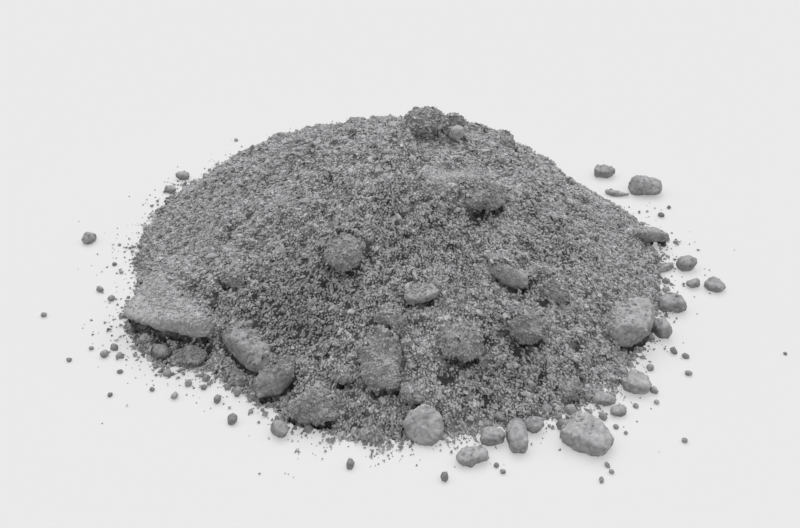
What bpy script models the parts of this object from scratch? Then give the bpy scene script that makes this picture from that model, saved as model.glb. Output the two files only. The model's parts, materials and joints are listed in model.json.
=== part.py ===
"""A heap of dry refractory castable: a mound of grey fines with coarse lumps in it and round its foot.

Blender 4.5, metres, +Z up. The origin is the middle of the mound's foot, on the surface it lies on.
Bearings are degrees round the heap seen from above: 0 is +X, 90 is +Y and -90 is the near side.
"""

import math
import random
from collections import namedtuple

import bmesh
import bpy
from mathutils import Matrix, Vector, noise
from mathutils.bvhtree import BVHTree

MM = 0.001
UP = Vector((0, 0, 1))

# The mound's driving dimensions
FOOT_RADIUS = 115 * MM
CREST_HEIGHT = 56 * MM
CREST_OFFSET = Vector((5 * MM, 5 * MM))
FLANK_CURVE = 1.55
DOME_SUBDIVISIONS = 5

# Places where the foot spreads past its round outline or falls short of it
Lobe = namedtuple("Lobe", "bearing spread reach")
LOBES = [
    Lobe(-170, 9, -4 * MM),
    Lobe(-148, 13, 7 * MM),
    Lobe(-126, 11, -9 * MM),
    Lobe(-90, 14, 4 * MM),
    Lobe(-52, 18, 6 * MM),
    Lobe(32, 15, -9 * MM),
    Lobe(95, 32, -6 * MM),
]

# Swells and hollows of the slopes: where, how wide and how high
Swell = namedtuple("Swell", "x y radius height")
SWELLS = [
    Swell(-36 * MM, 8 * MM, 26 * MM, 4.0 * MM),
    Swell(28 * MM, -18 * MM, 17 * MM, 3.5 * MM),
    Swell(2 * MM, -46 * MM, 17 * MM, -3.5 * MM),
    Swell(64 * MM, -40 * MM, 20 * MM, 3.0 * MM),
    Swell(20 * MM, 3 * MM, 7 * MM, -3.0 * MM),
    Swell(-4 * MM, 22 * MM, 14 * MM, -2.8 * MM),
    Swell(-46 * MM, 22 * MM, 13 * MM, 2.2 * MM),
    Swell(58 * MM, 28 * MM, 9 * MM, 3.0 * MM),
    Swell(8 * MM, 5 * MM, 10 * MM, 2.5 * MM),
]

# Natural unevenness of poured fines, and how sharply it dies out towards the foot
ROUGH_SCALE = 17 * MM
ROUGH_HEIGHT = 1.3 * MM
ROUGH_SEED = Vector((3.1, 7.7, 1.9))
ROUGH_FADE = 0.6
ROUGH_LACUNARITY = 2.0
ROUGH_OCTAVES = 3
FOOT_FADE = 6

# Ridges and bumps that the fines run down in: how many ridges go round the heap, how long one is,
# how far apart the bumps are, how high both are, and how high up the foot they are at full height
RIDGES_ROUND = 25
RIDGE_LENGTH = 26 * MM
RIDGE_HEIGHT = 3.6 * MM
BUMP_SCALE = 11 * MM
BUMP_HEIGHT = 3.2 * MM
BUMP_SEED = Vector((20.4, 10.7, 18.3))
FULL_RELIEF_HEIGHT = 8 * MM
CREST_RADIUS = 25 * MM

# How far the foot's edge wanders in and out, and over how long a stretch
EDGE_WANDER = 2.6 * MM
EDGE_STRETCH = 9 * MM

# Clear space between a lump and the fines round it
SOCKET_GAP = 0.45 * MM
# Half the stretch of slope that a lump's bed is levelled over
BED_HALF = 6 * MM
# Vertices this close to the surface below are put on it
LEVEL_SNAP = 0.02 * MM

# Height that lumps are dropped from, well over the crest
ABOVE = 1.0

# How a stone is shaped from a unit ball: how square it is, how much its front end and its top narrow,
# how many chance flats are broken off it and how near its middle they lie
Form = namedtuple("Form", "squareness tip peak flats flat_reach")
FORMS = {
    "pebble": Form(0.20, 0.15, 0.05, 7, 0.83),
    "block": Form(0.50, 0.10, 0.10, 6, 0.95),
    "slab": Form(0.55, 0.05, 0.05, 4, 1.00),
    "peaked": Form(0.45, 0.05, 0.05, 3, 1.02),
    "clod": Form(0.20, 0.20, 0.20, 12, 0.82),
}
FLAT_VARIATION = (0.93, 1.05)
LARGE_LENGTH = 15.5
LARGE_SUBDIVISIONS = 3
SMALL_SUBDIVISIONS = 2
# Corners this close to a cut through the unit ball count as on it
CUT_SNAP = 0.02

# The broad flats of the lumps that show best, in each one's own frame: bearing from its front end,
# height over its level, both in degrees, and distance from its middle, where its box is 1
Flat = namedtuple("Flat", "bearing height reach")
FLATS = {
    "left_slab": [
        Flat(-90, -8, 0.86), Flat(59.5, 12, 0.52), Flat(180, 12, 0.88), Flat(176, 83, 0.66),
        Flat(-40, 12, 1.02),
    ],
    "egg_stone": [Flat(82, 52, 0.76), Flat(-88, 32, 0.70), Flat(-8, 38, 0.84), Flat(178, 35, 0.84)],
    "crevice_block": [Flat(90, 75, 0.72), Flat(-90, 15, 0.76), Flat(180, 30, 0.80), Flat(0, 40, 0.90)],
    "peaked_stone": [
        Flat(-175, 42, 0.53), Flat(-8, 34, 0.72), Flat(95, 40, 0.64), Flat(-85, 40, 0.74),
        Flat(-85, 5, 0.85), Flat(140, 20, 0.50), Flat(45, 20, 0.78),
    ],
    "left_outer_pebble": [Flat(-175, 36, 0.62), Flat(-8, 36, 0.62), Flat(95, 40, 0.64), Flat(-85, 40, 0.74)],
    "leaning_block": [Flat(0, 88, 0.70), Flat(5, 48, 0.84), Flat(90, 20, 0.86), Flat(-90, 20, 0.86)],
    "round_stone": [
        Flat(-80, 72, 0.74), Flat(-150, 18, 0.84), Flat(-92, 5, 0.80), Flat(-35, 15, 0.84),
        Flat(25, 30, 0.86), Flat(150, 35, 0.86),
    ],
    "shelf_stone": [Flat(-80, 20, 0.72), Flat(-90, 80, 0.74), Flat(170, 30, 0.84), Flat(10, 30, 0.84)],
    "finger_stone": [Flat(-90, 35, 0.74), Flat(90, 50, 0.76), Flat(0, 25, 0.88)],
    "right_boulder": [
        Flat(-140, 8, 0.74), Flat(-130, 62, 0.70), Flat(-60, 25, 0.80), Flat(40, 45, 0.80),
        Flat(160, 30, 0.82),
    ],
    "front_stone": [
        Flat(-92, 8, 0.74), Flat(-70, 72, 0.74), Flat(0, 18, 0.84), Flat(178, 30, 0.84),
        Flat(52, 32, 0.78), Flat(-40, 40, 0.90),
    ],
    "front_pebble": [Flat(-110, 10, 0.78), Flat(-90, 75, 0.72), Flat(175, 25, 0.86), Flat(35, 20, 0.80)],
    "far_right_stone": [Flat(-80, 20, 0.74), Flat(75, 60, 0.80), Flat(-150, 25, 0.78), Flat(-20, 35, 0.80)],
    "right_rim_clod": [Flat(-76, 10, 0.78), Flat(-60, 70, 0.76), Flat(170, 20, 0.86), Flat(10, 20, 0.86)],
    "boulder_side_stone": [Flat(-95, 5, 0.80), Flat(-90, 75, 0.78), Flat(0, 25, 0.86)],
    "right_outer_pebble": [Flat(-60, 70, 0.76), Flat(180, 40, 0.76), Flat(0, 40, 0.76)],
}

# The lumps, in millimetres and degrees: where each lies (bearing and reach from the origin), its size,
# the way its length points, how far it leans with the slope (0 level, 1 with it) and the share of its
# height that is sunk in the fines
Lump = namedtuple("Lump", "name form bearing reach length width height turn lean sunk")
FRONT_LUMPS = [
    Lump("left_slab", "slab", -146.3, 103, 42, 23, 13, -32, 0.85, 0.42),
    Lump("egg_stone", "pebble", -125, 94.5, 25.5, 14, 13, -50, 1.0, 0.40),
    Lump("crevice_block", "block", -114.5, 103, 18, 9, 9, 33, 0.8, 0.30),
    Lump("peaked_stone", "peaked", -105.5, 109, 18, 14, 14, -14, 0.2, 0.28),
    Lump("overhang_clod", "clod", -110, 55, 16, 15, 13, 5, 0.6, 0.40),
    Lump("overhang_sliver", "pebble", -120, 44, 12, 4, 5, -88, 1.0, 0.50),
    Lump("leaning_block", "block", -93, 94, 21, 14, 11, -93, 1.0, 0.50),
    Lump("round_stone", "block", -84.7, 115, 13.5, 12.5, 12.5, 4, 0.2, 0.26),
    Lump("low_clod", "clod", -86.5, 104.5, 8.5, 6, 6, -14, 0.6, 0.40),
    Lump("shelf_stone", "pebble", -40, 45, 18, 12, 11, -5, 1.0, 0.45),
    Lump("finger_stone", "pebble", -54, 73, 17, 8, 8, -21, 1.0, 0.45),
    Lump("ridge_stone", "pebble", -44, 85, 14, 10, 9, -46, 1.0, 0.50),
    Lump("wedge_stone", "slab", -82, 71, 13.5, 7, 5, -154, 0.6, 0.40),
    Lump("middle_clod", "clod", -91.5, 79, 12, 10, 9, -55, 0.8, 0.50),
    Lump("right_clod", "clod", -58, 91, 16, 13, 11, -32, 0.8, 0.45),
    Lump("broad_clod", "clod", -74, 89, 17, 15, 11, -27, 0.8, 0.50),
]
RIM_LUMPS = [
    Lump("right_boulder", "clod", -34, 109, 24, 18, 15, 50, 0.3, 0.27),
    Lump("boulder_side_stone", "block", -20, 120, 10.5, 8, 7, 5, 0.0, 0.06),
    Lump("boulder_side_chip", "block", -28.5, 120, 9, 7, 6.5, -80, 0.0, 0.06),
    Lump("right_rim_clod", "block", -45.2, 127.2, 10, 9, 8, -14, 0.0, 0.06),
    Lump("right_rim_chip", "pebble", -52, 124.5, 8.5, 6, 5, 0, 0.0, 0.06),
    Lump("right_rim_crumb", "pebble", -52, 131.5, 6, 5, 4, 0, 0.0, 0.08),
    Lump("front_stone", "block", -60.3, 136.5, 17.5, 13, 9.5, -31, 0.0, 0.06),
    Lump("front_pebble", "block", -78, 130, 11.5, 7, 5.5, 20, 0.0, 0.06),
    Lump("front_rim_stone", "block", -73.7, 122.5, 8.5, 6.5, 6, 0, 0.0, 0.08),
    Lump("front_rim_finger", "block", -69.9, 125.5, 14, 7, 6.5, -87, 0.0, 0.08),
    Lump("front_rim_clod", "clod", -66, 122.5, 7, 6.5, 5.5, -20, 0.0, 0.10),
    Lump("front_slope_clod", "clod", -56, 115, 9, 8, 7, 14, 0.5, 0.55),
    Lump("left_front_pebble", "pebble", -109.5, 121, 7.5, 6, 5.5, -61, 0.0, 0.06),
    Lump("foot_clod", "clod", -94, 117, 6, 5.5, 5, -25, 0.3, 0.30),
    Lump("left_rim_clod", "clod", -136, 108.5, 11, 8, 7, -23, 0.6, 0.65),
    Lump("left_rim_chip", "pebble", -141.5, 114.5, 8, 5.5, 5, -19, 0.4, 0.55),
    Lump("egg_side_clod", "clod", -124, 105, 7, 6, 5, -36, 0.5, 0.40),
    Lump("slab_side_clod", "clod", -140, 82, 9, 6, 6, -50, 1.0, 0.45),
    Lump("peaked_side_clod", "clod", -101, 99, 6, 6, 6, -8, 0.6, 0.35),
]
FAR_LUMPS = [
    Lump("peak_clod", "clod", 41, 15.5, 15, 13, 13, 10, 0.3, 0.27),
    Lump("crest_clod", "clod", 47, 36, 9, 7, 7, 14, 0.8, 0.15),
    Lump("crest_chip", "block", 21, 27, 6.5, 5.5, 6, 30, 0.5, 0.15),
    Lump("shoulder_clod", "clod", 32, 56, 11, 9, 8, 10, 0.8, 0.40),
    Lump("far_right_pebble", "block", 33, 121, 10, 7, 5.5, 0, 0.0, 0.06),
    Lump("far_right_stone", "block", 23, 128.5, 15.5, 11, 9, -12, 0.0, 0.06),
    Lump("far_right_sliver", "pebble", 24.5, 115, 12, 3.5, 3, -15, 0.0, 0.10),
    Lump("right_rod", "block", 2.5, 111.5, 17.5, 7, 6.5, 6, 0.35, 0.12),
    Lump("right_pebble", "block", -5.5, 125.5, 8, 7, 6, 29, 0.0, 0.06),
    Lump("right_sliver", "pebble", -7, 116, 10, 3.5, 3.5, 34, 0.0, 0.10),
    Lump("right_crumb", "pebble", -11.5, 127.5, 6, 5, 4, 14, 0.0, 0.08),
    Lump("right_outer_pebble", "slab", -11.5, 136, 8.5, 6.5, 5, -35, 0.0, 0.06),
    Lump("left_outer_pebble", "peaked", 176.5, 136.5, 7, 6, 6, 72, 0.0, 0.06),
    Lump("far_left_pebble", "pebble", 148.5, 121, 6.5, 5.5, 4.5, -31, 0.0, 0.06),
    Lump("far_left_crumb", "pebble", 154.5, 119, 5.5, 4.5, 3.5, 10, 0.0, 0.08),
]
BACK_LUMPS = [
    Lump("back_slope_stone", "pebble", 74, 100, 17, 12, 10, 60, 1.0, 0.50),
    Lump("back_slope_clod", "clod", 102, 92, 12, 10, 9, 20, 0.9, 0.50),
    Lump("back_left_clod", "clod", 124, 101, 14, 11, 9, -35, 0.8, 0.50),
    Lump("back_rim_stone", "pebble", 92, 113, 15, 12, 10, 5, 0.3, 0.30),
    Lump("back_rim_clod", "clod", 113, 114, 9, 8, 7, 40, 0.2, 0.25),
    Lump("back_right_clod", "clod", 60, 106, 11, 9, 8, -50, 0.6, 0.55),
]

FINES_COLOUR = (0.215, 0.213, 0.218, 1.0)
LUMP_SHADES = (0.235, 0.265)
ROUGHNESS = 0.95
SHARP_EDGE = math.radians(50)


def material(name, colour):
    made = bpy.data.materials.new(name)
    made.use_nodes = True
    shader = made.node_tree.nodes["Principled BSDF"]
    shader.inputs["Base Color"].default_value = colour
    shader.inputs["Roughness"].default_value = ROUGHNESS
    shader.inputs["Metallic"].default_value = 0.0
    return made


def finish_object(name, shape, collection):
    """Turns a bmesh into a named object of triangles, shaded smooth but for its sharp edges."""
    bmesh.ops.triangulate(shape, faces=shape.faces[:])
    mesh = bpy.data.meshes.new(name)
    shape.to_mesh(mesh)
    shape.free()
    mesh.shade_smooth()
    mesh.set_sharp_from_angle(angle=SHARP_EDGE)
    made = bpy.data.objects.new(name, mesh)
    collection.objects.link(made)
    return made


def cut_level(shape):
    """Cuts off what lies below the surface the heap rests on, and closes the cut with a flat face."""
    everything = shape.verts[:] + shape.edges[:] + shape.faces[:]
    level = Vector((0, 0, 0))
    bmesh.ops.bisect_plane(
        shape, geom=everything, dist=LEVEL_SNAP, plane_co=level, plane_no=UP, clear_inner=True
    )
    outline = [edge for edge in shape.edges if edge.is_boundary]
    if outline:
        bmesh.ops.contextual_create(shape, geom=outline)
    bmesh.ops.recalc_face_normals(shape, faces=shape.faces[:])


def foot_reach(bearing):
    """The foot's distance from the origin at a bearing in degrees."""
    reach = FOOT_RADIUS
    for lobe in LOBES:
        apart = (bearing - lobe.bearing + 180) % 360 - 180
        reach += lobe.reach * math.exp(-((apart / lobe.spread) ** 2))
    turn = math.radians(bearing)
    edge = Vector((math.cos(turn), math.sin(turn), 0)) * reach
    return reach + EDGE_WANDER * noise.noise(edge / EDGE_STRETCH)


def relief(x, y):
    """Height of the swells and the unevenness over the plain dome."""
    place = Vector((x, y, 0)) / ROUGH_SCALE + ROUGH_SEED
    height = ROUGH_HEIGHT * noise.fractal(place, ROUGH_FADE, ROUGH_LACUNARITY, ROUGH_OCTAVES)
    for swell in SWELLS:
        squared = ((x - swell.x) ** 2 + (y - swell.y) ** 2) / swell.radius**2
        height += swell.height * math.exp(-squared)
    return height


def mound_point(direction):
    """Where a point of the unit dome comes to lie on the mound."""
    fall = math.acos(max(0.0, min(1.0, direction.z))) / (math.pi / 2)
    bearing = math.atan2(direction.y, direction.x)
    reach = fall * foot_reach(math.degrees(bearing))
    x = reach * math.cos(bearing) + (1 - fall) * CREST_OFFSET.x
    y = reach * math.sin(bearing) + (1 - fall) * CREST_OFFSET.y
    inside = 1 - fall**FOOT_FADE
    return Vector((x, y, CREST_HEIGHT * (1 - fall**FLANK_CURVE) + relief(x, y) * inside))


def draw_ridges(shape):
    """Adds the ridges and bumps of the slopes, which the lumps are not laid by."""
    for vertex in shape.verts:
        reach = vertex.co.xy.length
        share = min(1, max(0, vertex.co.z) / FULL_RELIEF_HEIGHT)
        bump = noise.noise(Vector((vertex.co.x, vertex.co.y, 0)) / BUMP_SCALE + BUMP_SEED)
        ring = vertex.co.xy / max(reach, MM) * RIDGES_ROUND / math.tau
        ridge = noise.noise(Vector((ring.x, ring.y, reach / RIDGE_LENGTH)))
        on_slope = min(1, reach / CREST_RADIUS)
        vertex.co.z += share * (BUMP_HEIGHT * bump + RIDGE_HEIGHT * ridge * on_slope)


def mound_shape():
    shape = bmesh.new()
    bmesh.ops.create_icosphere(shape, subdivisions=DOME_SUBDIVISIONS, radius=1.0)
    cut_level(shape)
    for vertex in shape.verts:
        vertex.co = mound_point(vertex.co)
    return shape


def squared_off(point, squareness):
    """Moves a point of the unit ball out towards the ball's box."""
    power = 2 / (1 - squareness)
    return point / sum(abs(value) ** power for value in point) ** (1 / power)


def random_direction(chance):
    return Vector((chance.gauss(0, 1), chance.gauss(0, 1), chance.gauss(0, 1))).normalized()


def flat_direction(flat):
    """The direction square to a named flat."""
    bearing = math.radians(flat.bearing)
    height = math.radians(flat.height)
    level = math.cos(height)
    return Vector((level * math.cos(bearing), level * math.sin(bearing), math.sin(height)))


def break_off(shape, normal, reach):
    """Takes away what stands out past a plane, and leaves an opening there."""
    everything = shape.verts[:] + shape.edges[:] + shape.faces[:]
    bmesh.ops.bisect_plane(
        shape, geom=everything, dist=CUT_SNAP, plane_co=normal * reach, plane_no=normal, clear_outer=True
    )


def close_stone(shape):
    """Closes a broken stone with the hull of its corners, so that each opening becomes a flat."""
    bmesh.ops.remove_doubles(shape, verts=shape.verts, dist=CUT_SNAP)
    corners = [vertex.co.copy() for vertex in shape.verts]
    shape.clear()
    for corner in corners:
        shape.verts.new(corner)
    bmesh.ops.convex_hull(shape, input=shape.verts)
    spare = [vertex for vertex in shape.verts if not vertex.link_faces]
    bmesh.ops.delete(shape, geom=spare, context="VERTS")


def fill_unit_box(shape):
    """Stretches a stone so that it just fills the box from -1 to 1."""
    for axis in range(3):
        values = [vertex.co[axis] for vertex in shape.verts]
        low = min(values)
        high = max(values)
        for vertex in shape.verts:
            vertex.co[axis] = 2 * (vertex.co[axis] - low) / (high - low) - 1


def stone_shape(lump, seed):
    """A stone of the lump's form in the unit box, its front end at +X."""
    form = FORMS[lump.form]
    large = lump.length > LARGE_LENGTH
    shape = bmesh.new()
    subdivisions = LARGE_SUBDIVISIONS if large else SMALL_SUBDIVISIONS
    bmesh.ops.create_icosphere(shape, subdivisions=subdivisions, radius=1.0)
    for vertex in shape.verts:
        point = squared_off(vertex.co, form.squareness)
        point.y *= 1 - form.tip * (point.x + 1) / 2
        point.xy *= 1 - form.peak * (point.z + 1) / 2
        vertex.co = point
    for flat in FLATS.get(lump.name, []):
        break_off(shape, flat_direction(flat), flat.reach)
    chance = random.Random(seed)
    for _ in range(form.flats):
        normal = random_direction(chance)
        break_off(shape, normal, form.flat_reach * chance.uniform(*FLAT_VARIATION))
    close_stone(shape)
    fill_unit_box(shape)
    return shape


class Bed:
    """The mound's surface and the level ground round it, as the lumps feel them from above."""

    def __init__(self, shape):
        self.tree = BVHTree.FromBMesh(shape)

    def height(self, x, y):
        hit = self.tree.ray_cast(Vector((x, y, ABOVE)), -UP)[0]
        return hit.z if hit else 0.0

    def slope(self, x, y):
        """The upward direction square to the surface, levelled over the bed of a lump."""
        rise_x = self.height(x + BED_HALF, y) - self.height(x - BED_HALF, y)
        rise_y = self.height(x, y + BED_HALF) - self.height(x, y - BED_HALF)
        return Vector((-rise_x, -rise_y, 2 * BED_HALF)).normalized()


def lump_matrix(lump, bed, grown):
    """Places, turns and sizes the unit stone, larger all round by grown."""
    bearing = math.radians(lump.bearing)
    x = lump.reach * MM * math.cos(bearing)
    y = lump.reach * MM * math.sin(bearing)
    upward = UP.lerp(bed.slope(x, y), lump.lean).normalized()
    turn = math.radians(lump.turn)
    along = Vector((math.cos(turn), math.sin(turn), 0))
    along = (along - upward * along.dot(upward)).normalized()
    turned = Matrix((along, upward.cross(along), upward)).transposed().to_4x4()
    middle = Vector((x, y, bed.height(x, y))) + upward * lump.height * MM * (0.5 - lump.sunk)
    halves = [value * MM / 2 + grown for value in (lump.length, lump.width, lump.height)]
    return Matrix.Translation(middle) @ turned @ Matrix.Diagonal(halves).to_4x4()


def make_lump(lump, seed, bed, collection):
    shape = stone_shape(lump, seed)
    bmesh.ops.transform(shape, matrix=lump_matrix(lump, bed, 0), verts=shape.verts)
    cut_level(shape)
    made = finish_object(lump.name, shape, collection)
    shade = random.Random(seed).uniform(*LUMP_SHADES)
    made.data.materials.append(material(lump.name + "_grey", (shade, shade, shade, 1.0)))


def make_socket(lump, seed, bed, collection):
    """The space that a lump takes up in the fines, as a cutter."""
    shape = stone_shape(lump, seed)
    bmesh.ops.transform(shape, matrix=lump_matrix(lump, bed, SOCKET_GAP), verts=shape.verts)
    cutter = finish_object(lump.name + "_socket", shape, collection)
    cutter.hide_render = True
    cutter.display_type = "WIRE"


def make_mound(shape, sockets, collection):
    mound = finish_object("powder_mound", shape, collection)
    mound.data.materials.append(material("fines", FINES_COLOUR))
    cut = mound.modifiers.new("sockets", "BOOLEAN")
    cut.operation = "DIFFERENCE"
    cut.operand_type = "COLLECTION"
    cut.collection = sockets
    cut.solver = "EXACT"


def new_collection(name):
    made = bpy.data.collections.new(name)
    bpy.context.scene.collection.children.link(made)
    return made


def clear_scene():
    for old in list(bpy.data.objects):
        bpy.data.objects.remove(old)


def main():
    clear_scene()
    heap = new_collection("castable_heap")
    sockets = new_collection("lump_sockets")
    shape = mound_shape()
    bed = Bed(shape)
    for seed, lump in enumerate(FRONT_LUMPS + RIM_LUMPS + FAR_LUMPS + BACK_LUMPS):
        make_lump(lump, seed, bed, heap)
        make_socket(lump, seed, bed, sockets)
    draw_ridges(shape)
    make_mound(shape, sockets, heap)


main()
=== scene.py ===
"""The looks of a heap of dry refractory castable: granular fines, dusty lumps, grit and crumbs.

Metres, +Z up. Bearings are degrees round the heap seen from above: 0 is +X and -90 is the near side.
"""

import json
import math
import random
import bpy
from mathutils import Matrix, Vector, noise
from mathutils.bvhtree import BVHTree

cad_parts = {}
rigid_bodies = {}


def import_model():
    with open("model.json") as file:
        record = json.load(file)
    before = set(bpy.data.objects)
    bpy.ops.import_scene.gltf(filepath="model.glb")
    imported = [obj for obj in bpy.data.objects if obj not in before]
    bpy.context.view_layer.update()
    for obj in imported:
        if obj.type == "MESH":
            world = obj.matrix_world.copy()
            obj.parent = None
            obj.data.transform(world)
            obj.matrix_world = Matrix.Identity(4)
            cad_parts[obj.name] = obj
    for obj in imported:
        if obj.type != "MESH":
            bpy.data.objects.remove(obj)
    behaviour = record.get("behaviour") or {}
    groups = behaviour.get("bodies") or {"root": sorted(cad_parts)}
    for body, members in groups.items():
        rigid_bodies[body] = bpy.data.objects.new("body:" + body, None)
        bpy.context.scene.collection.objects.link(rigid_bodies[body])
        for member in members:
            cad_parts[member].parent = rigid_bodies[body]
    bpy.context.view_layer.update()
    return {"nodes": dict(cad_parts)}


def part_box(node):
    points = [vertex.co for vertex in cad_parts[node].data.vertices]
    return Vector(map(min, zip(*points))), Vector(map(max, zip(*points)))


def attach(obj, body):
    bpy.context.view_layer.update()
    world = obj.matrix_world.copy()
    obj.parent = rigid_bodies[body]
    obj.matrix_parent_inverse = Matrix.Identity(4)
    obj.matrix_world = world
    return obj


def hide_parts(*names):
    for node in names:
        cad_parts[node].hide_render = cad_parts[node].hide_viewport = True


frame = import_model()

MM = 0.001
UP = Vector((0, 0, 1))
MOUND = "powder_mound"
LUMPS = sorted(name for name in frame["nodes"] if name != MOUND)


# Shared tools

# Up to how far apart the corners of a CAD node's triangles are merged
MERGE_DISTANCE = 0.005 * MM


def select_only(*pieces):
    bpy.ops.object.select_all(action="DESELECT")
    for piece in pieces:
        piece.select_set(True)
    bpy.context.view_layer.objects.active = pieces[0]


def link(name, mesh):
    """A new object at the origin that shows a mesh."""
    piece = bpy.data.objects.new(name, mesh)
    bpy.context.scene.collection.objects.link(piece)
    return piece


def merged_copy(node, name):
    """A copy of a CAD node, with the doubled corners of its loose triangles merged."""
    piece = link(name, frame["nodes"][node].data.copy())
    piece.data.materials.clear()
    select_only(piece)
    bpy.ops.object.mode_set(mode="EDIT")
    bpy.ops.mesh.select_all(action="SELECT")
    bpy.ops.mesh.remove_doubles(threshold=MERGE_DISTANCE)
    bpy.ops.object.mode_set(mode="OBJECT")
    return piece


def apply_modifier(piece, kind, **settings):
    select_only(piece)
    modifier = piece.modifiers.new(kind, kind)
    for name, value in settings.items():
        setattr(modifier, name, value)
    bpy.ops.object.modifier_apply(modifier=modifier.name)


def clouds(name, size, depth=2):
    """A soft uneven texture whose bumps are about so wide."""
    texture = bpy.data.textures.new(name, "CLOUDS")
    texture.noise_scale = size
    texture.noise_depth = depth
    return texture


def cells(name, size):
    """A texture of round bumps with narrow valleys between them, about so wide."""
    texture = bpy.data.textures.new(name, "VORONOI")
    texture.noise_scale = size
    return texture


def roughen(piece, texture, height, middle=0.5, group=""):
    """Raises a texture's relief on a piece; middle is the part of it below the plain surface."""
    apply_modifier(
        piece, "DISPLACE", texture=texture, strength=height, mid_level=middle,
        texture_coords="LOCAL", vertex_group=group)


def hand_over(piece, slot, *nodes, angular=False):
    """Shades a finished piece flat or smooth, lets it ride on the root body and hides the CAD nodes
    that it stands for.
    """
    select_only(piece)
    if angular:
        bpy.ops.object.shade_flat()
    else:
        bpy.ops.object.shade_smooth()
    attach(piece, "root")
    if nodes:
        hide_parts(*nodes)


def add_node(tree, kind, inputs=(), **settings):
    """Adds a node to a material or geometry tree; inputs are values or the sockets that feed them."""
    made = tree.nodes.new(kind)
    for name, value in settings.items():
        setattr(made, name, value)
    for name, value in dict(inputs).items():
        if isinstance(value, bpy.types.NodeSocket):
            tree.links.new(value, made.inputs[name])
        else:
            made.inputs[name].default_value = value
    return made


def smooth_step(start, end, value):
    """Rises softly from 0 at start to 1 at end."""
    share = min(max((value - start) / (end - start), 0), 1)
    return share * share * (3 - 2 * share)


def lift_to_floor(piece):
    """Flattens what would reach below the surface that the heap lies on."""
    for vertex in piece.data.vertices:
        vertex.co.z = max(vertex.co.z, 0)


def mark(piece, name, measure):
    """Stores a value for each vertex, which a grain layer or a material reads."""
    values = piece.data.attributes.new(name, "FLOAT", "POINT")
    values.data.foreach_set("value", [measure(vertex) for vertex in piece.data.vertices])


def surface_tree(pieces):
    """A search tree of the pieces' surfaces."""
    corners = []
    faces = []
    for piece in pieces:
        start = len(corners)
        corners.extend(vertex.co.copy() for vertex in piece.data.vertices)
        faces.extend([start + i for i in face.vertices] for face in piece.data.polygons)
    return BVHTree.FromPolygons(corners, faces)


# Camera, floor and light

# Where the camera looks, from how far and how steeply, and through which lens
CAMERA_TARGET = Vector((2 * MM, -9 * MM, 0))
CAMERA_DISTANCE = 480 * MM
CAMERA_ELEVATION = math.radians(35)
CAMERA_LENS = 50
CAMERA_SENSOR = 36
CAMERA_NEAREST = 10 * MM

# A pale board that glows a little, as under bright light, just below the heap's foot, and the grey
# of the tent round it
FLOOR_SIZE = 8.0
FLOOR_DROP = 0.02 * MM
FLOOR_COLOUR = (0.28, 0.28, 0.28, 1)
FLOOR_GLOW = (0.368, 0.368, 0.368, 1)
TENT_GREY = (0.13, 0.13, 0.13, 1)

# Soft suns: bearing they shine from, height over the horizon, strength and apparent width
SUNS = {
    "top_light": (-90, 85, 2.0, 110),
    "back_light": (90, 55, 1.6, 45),
    "left_light": (165, 40, 0.65, 50),
    "right_light": (15, 40, 0.8, 50),
    "front_light": (-90, 48, 0.65, 40),
}


def add_camera():
    camera = bpy.data.objects.new("camera", bpy.data.cameras.new("camera"))
    bpy.context.scene.collection.objects.link(camera)
    back = Vector((0, -math.cos(CAMERA_ELEVATION), math.sin(CAMERA_ELEVATION)))
    camera.location = CAMERA_TARGET + back * CAMERA_DISTANCE
    camera.rotation_mode = "QUATERNION"
    camera.rotation_quaternion = (-back).to_track_quat("-Z", "Y")
    camera.data.lens = CAMERA_LENS
    camera.data.sensor_width = CAMERA_SENSOR
    camera.data.clip_start = CAMERA_NEAREST
    bpy.context.scene.camera = camera


def add_floor():
    bpy.ops.mesh.primitive_plane_add(size=FLOOR_SIZE, location=(0, 0, -FLOOR_DROP))
    floor = bpy.context.object
    floor.name = "floor"
    material = bpy.data.materials.new("pale_board")
    material.use_nodes = True
    shader = material.node_tree.nodes["Principled BSDF"]
    shader.inputs["Base Color"].default_value = FLOOR_COLOUR
    shader.inputs["Roughness"].default_value = 1
    shader.inputs["Specular IOR Level"].default_value = 0
    shader.inputs["Emission Color"].default_value = FLOOR_GLOW
    shader.inputs["Emission Strength"].default_value = 1
    floor.data.materials.append(material)


def add_sun(name, bearing, height, strength, width):
    sun = bpy.data.objects.new(name, bpy.data.lights.new(name, "SUN"))
    bpy.context.scene.collection.objects.link(sun)
    level = math.cos(math.radians(height))
    towards = Vector((
        math.cos(math.radians(bearing)) * level,
        math.sin(math.radians(bearing)) * level,
        math.sin(math.radians(height)),
    ))
    sun.rotation_mode = "QUATERNION"
    sun.rotation_quaternion = (-towards).to_track_quat("-Z", "Y")
    sun.data.energy = strength
    sun.data.angle = math.radians(width)


def add_light():
    scene = bpy.context.scene
    scene.view_settings.view_transform = "Standard"
    scene.world = bpy.data.worlds.new("white_tent")
    scene.world.use_nodes = True
    sky = scene.world.node_tree.nodes["Background"]
    sky.inputs["Color"].default_value = TENT_GREY
    sky.inputs["Strength"].default_value = 1
    for name, facts in SUNS.items():
        add_sun(name, *facts)


# Materials

# About how many patches, specks and grains there are in a metre, and how high the bumps are
BROAD_PATCHES = 38
SMALL_PATCHES = 230
SPECKS = 800
FINE_GRAINS = 2300
BUMP_HEIGHT = 0.3 * MM

# How the dark and the light end of a grey are tinted, and how matt a mineral is
DARK_TINT = (1, 0.99, 1.02)
LIGHT_TINT = (1, 0.985, 1.005)
ROUGHNESS = 0.95
GLOSS = 0.2


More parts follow.
